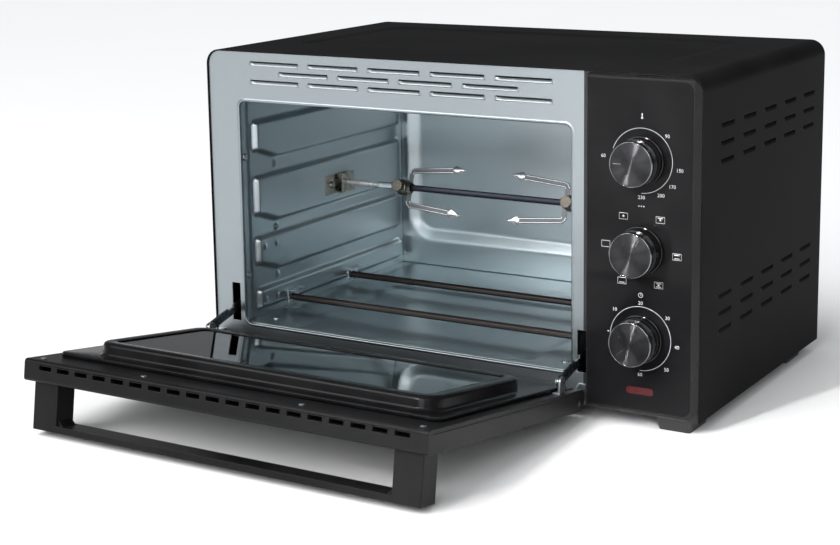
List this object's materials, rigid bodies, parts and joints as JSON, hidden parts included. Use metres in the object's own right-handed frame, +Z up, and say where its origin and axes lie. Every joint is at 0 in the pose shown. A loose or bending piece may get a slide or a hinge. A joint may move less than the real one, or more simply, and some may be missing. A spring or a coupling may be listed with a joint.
{
  "type": "rotisserie oven",
  "caption": "Countertop rotisserie oven with a drop-down door, bar handle, motor-driven spit with adjustable forks, rod heaters and rotary controls.",
  "frame": {"origin": "centre of the whole part's outline with the door open on its stop, on the table plane under the feet", "axes": "+X to the control panel side, +Y to the back, +Z up"},
  "size_m": [0.5, 0.5712, 0.301],
  "materials": {
    "black_paint": "satin black stove paint",
    "front_steel": "satin bright steel",
    "cavity_steel": "aluminised steel",
    "dark_plastic": "matte",
    "dark_screws": "blackened steel",
    "zinc_parts": "bright zinc plate on steel",
    "heater_rod": "oxidised rod",
    "ceramic": "glazed ceramic",
    "nickel": "nickelled brass",
    "panel_black": "satin black",
    "fascia_gloss": "high gloss black",
    "red_lens": "translucent red",
    "chrome": "bright",
    "wire": "silicone sleeve",
    "door_paint": "charcoal satin paint",
    "pan_enamel": "gloss black enamel",
    "door_glass": "tempered dark glass",
    "knob_black": "gloss black, bright rim",
    "knob_face": "spun, dark anodised"
  },
  "bodies": {
    "cabinet": {"case_wrap": "black_paint", "front_frame": "front_steel", "base_plate": "black_paint", "back_panel": "black_paint", "feet": "dark_plastic", "case_screws": "dark_screws", "cavity_left": "cavity_steel", "cavity_right": "cavity_steel", "cavity_top": "cavity_steel", "cavity_floor": "cavity_steel", "cavity_back": "cavity_steel", "cavity_screws": "zinc_parts", "heaters_upper": "heater_rod", "heaters_lower": "heater_rod", "heater_insulators": "ceramic", "heater_clips": "zinc_parts", "spit_bracket": "nickel", "hinge_ears": "zinc_parts", "panel_bezel": "panel_black", "panel_fascia": "fascia_gloss", "lamp_lens": "red_lens", "lamp_holder": "dark_plastic", "thermostat": "zinc_parts", "thermostat_bulb": "chrome", "selector_switch": "dark_plastic", "timer_unit": "zinc_parts", "timer_bell": "zinc_parts", "spit_motor": "zinc_parts", "terminal_block": "ceramic", "cord_gland": "dark_plastic", "wire_harness": "wire"},
    "door": {"door_frame": "door_paint", "inner_pan": "pan_enamel", "inner_glass": "door_glass", "outer_glass": "door_glass", "handle": "door_paint", "door_screws": "zinc_parts", "door_pins": "zinc_parts", "arm_feet": "zinc_parts"},
    "arm_left": {"arm_left": "zinc_parts"},
    "arm_right": {"arm_right": "zinc_parts"},
    "spit": {"spit_rod": "chrome"},
    "fork_left": {"fork_left": "chrome"},
    "fork_right": {"fork_right": "chrome"},
    "thumb_left": {"thumb_left": "nickel"},
    "thumb_right": {"thumb_right": "nickel"},
    "drive": {"drive_socket": "zinc_parts"},
    "knob_temp": {"temp_shaft": "zinc_parts", "temp_knob": "knob_black", "temp_face": "knob_face"},
    "knob_prog": {"prog_shaft": "zinc_parts", "prog_knob": "knob_black", "prog_face": "knob_face"},
    "knob_timer": {"timer_shaft": "zinc_parts", "timer_knob": "knob_black", "timer_face": "knob_face"}
  },
  "joints": [
    {"name": "door_hinge", "type": "hinge", "parent": "cabinet", "child": "door", "pos_m": [0, -0.03658, 0.0172], "axis": [-1, 0, 0], "range_deg": [0, 81.44]},
    {"name": "arm_left_swing", "type": "hinge", "parent": "door", "child": "arm_left", "pos_m": [-0.2256, -0.06305, 0.04293], "axis": [1, 0, 0], "range_deg": [0, 72.6]},
    {"name": "arm_right_swing", "type": "hinge", "parent": "door", "child": "arm_right", "pos_m": [0.1421, -0.06305, 0.04293], "axis": [1, 0, 0], "range_deg": [0, 72.6]},
    {"name": "spit_turn", "type": "hinge", "parent": "cabinet", "child": "spit", "pos_m": [0, 0.14562, 0.1495], "axis": [1, 0, 0], "continuous": true},
    {"name": "drive_turn", "type": "hinge", "parent": "cabinet", "child": "drive", "pos_m": [0.1342, 0.14562, 0.1495], "axis": [1, 0, 0], "continuous": true},
    {"name": "fork_left_slide", "type": "slide", "parent": "spit", "child": "fork_left", "axis": [1, 0, 0], "range_m": [-0.022, 0.05]},
    {"name": "fork_right_slide", "type": "slide", "parent": "spit", "child": "fork_right", "axis": [1, 0, 0], "range_m": [-0.05, 0.055]},
    {"name": "thumb_left_turn", "type": "hinge", "parent": "fork_left", "child": "thumb_left", "pos_m": [-0.137, 0.14562, 0.1495], "axis": [0, -0.9563, 0.2924], "range_deg": [0, 360]},
    {"name": "thumb_right_turn", "type": "hinge", "parent": "fork_right", "child": "thumb_right", "pos_m": [0.051, 0.14562, 0.1495], "axis": [0, -0.9563, 0.2924], "range_deg": [0, 360]},
    {"name": "temp_turn", "type": "hinge", "parent": "cabinet", "child": "knob_temp", "pos_m": [0.1995, -0.02808, 0.2295], "axis": [0, 1, 0], "range_deg": [0, 270]},
    {"name": "prog_turn", "type": "hinge", "parent": "cabinet", "child": "knob_prog", "pos_m": [0.1995, -0.02808, 0.1544], "axis": [0, 1, 0], "range_deg": [0, 300]},
    {"name": "timer_turn", "type": "hinge", "parent": "cabinet", "child": "knob_timer", "pos_m": [0.1995, -0.02808, 0.0793], "axis": [0, 1, 0], "range_deg": [0, 310]}
  ],
  "couplings": [
    {"joint": "arm_left_swing", "follows": "door_hinge", "ratio": 0.89},
    {"joint": "arm_right_swing", "follows": "door_hinge", "ratio": 0.89},
    {"joint": "drive_turn", "follows": "spit_turn", "ratio": 1}
  ]
}
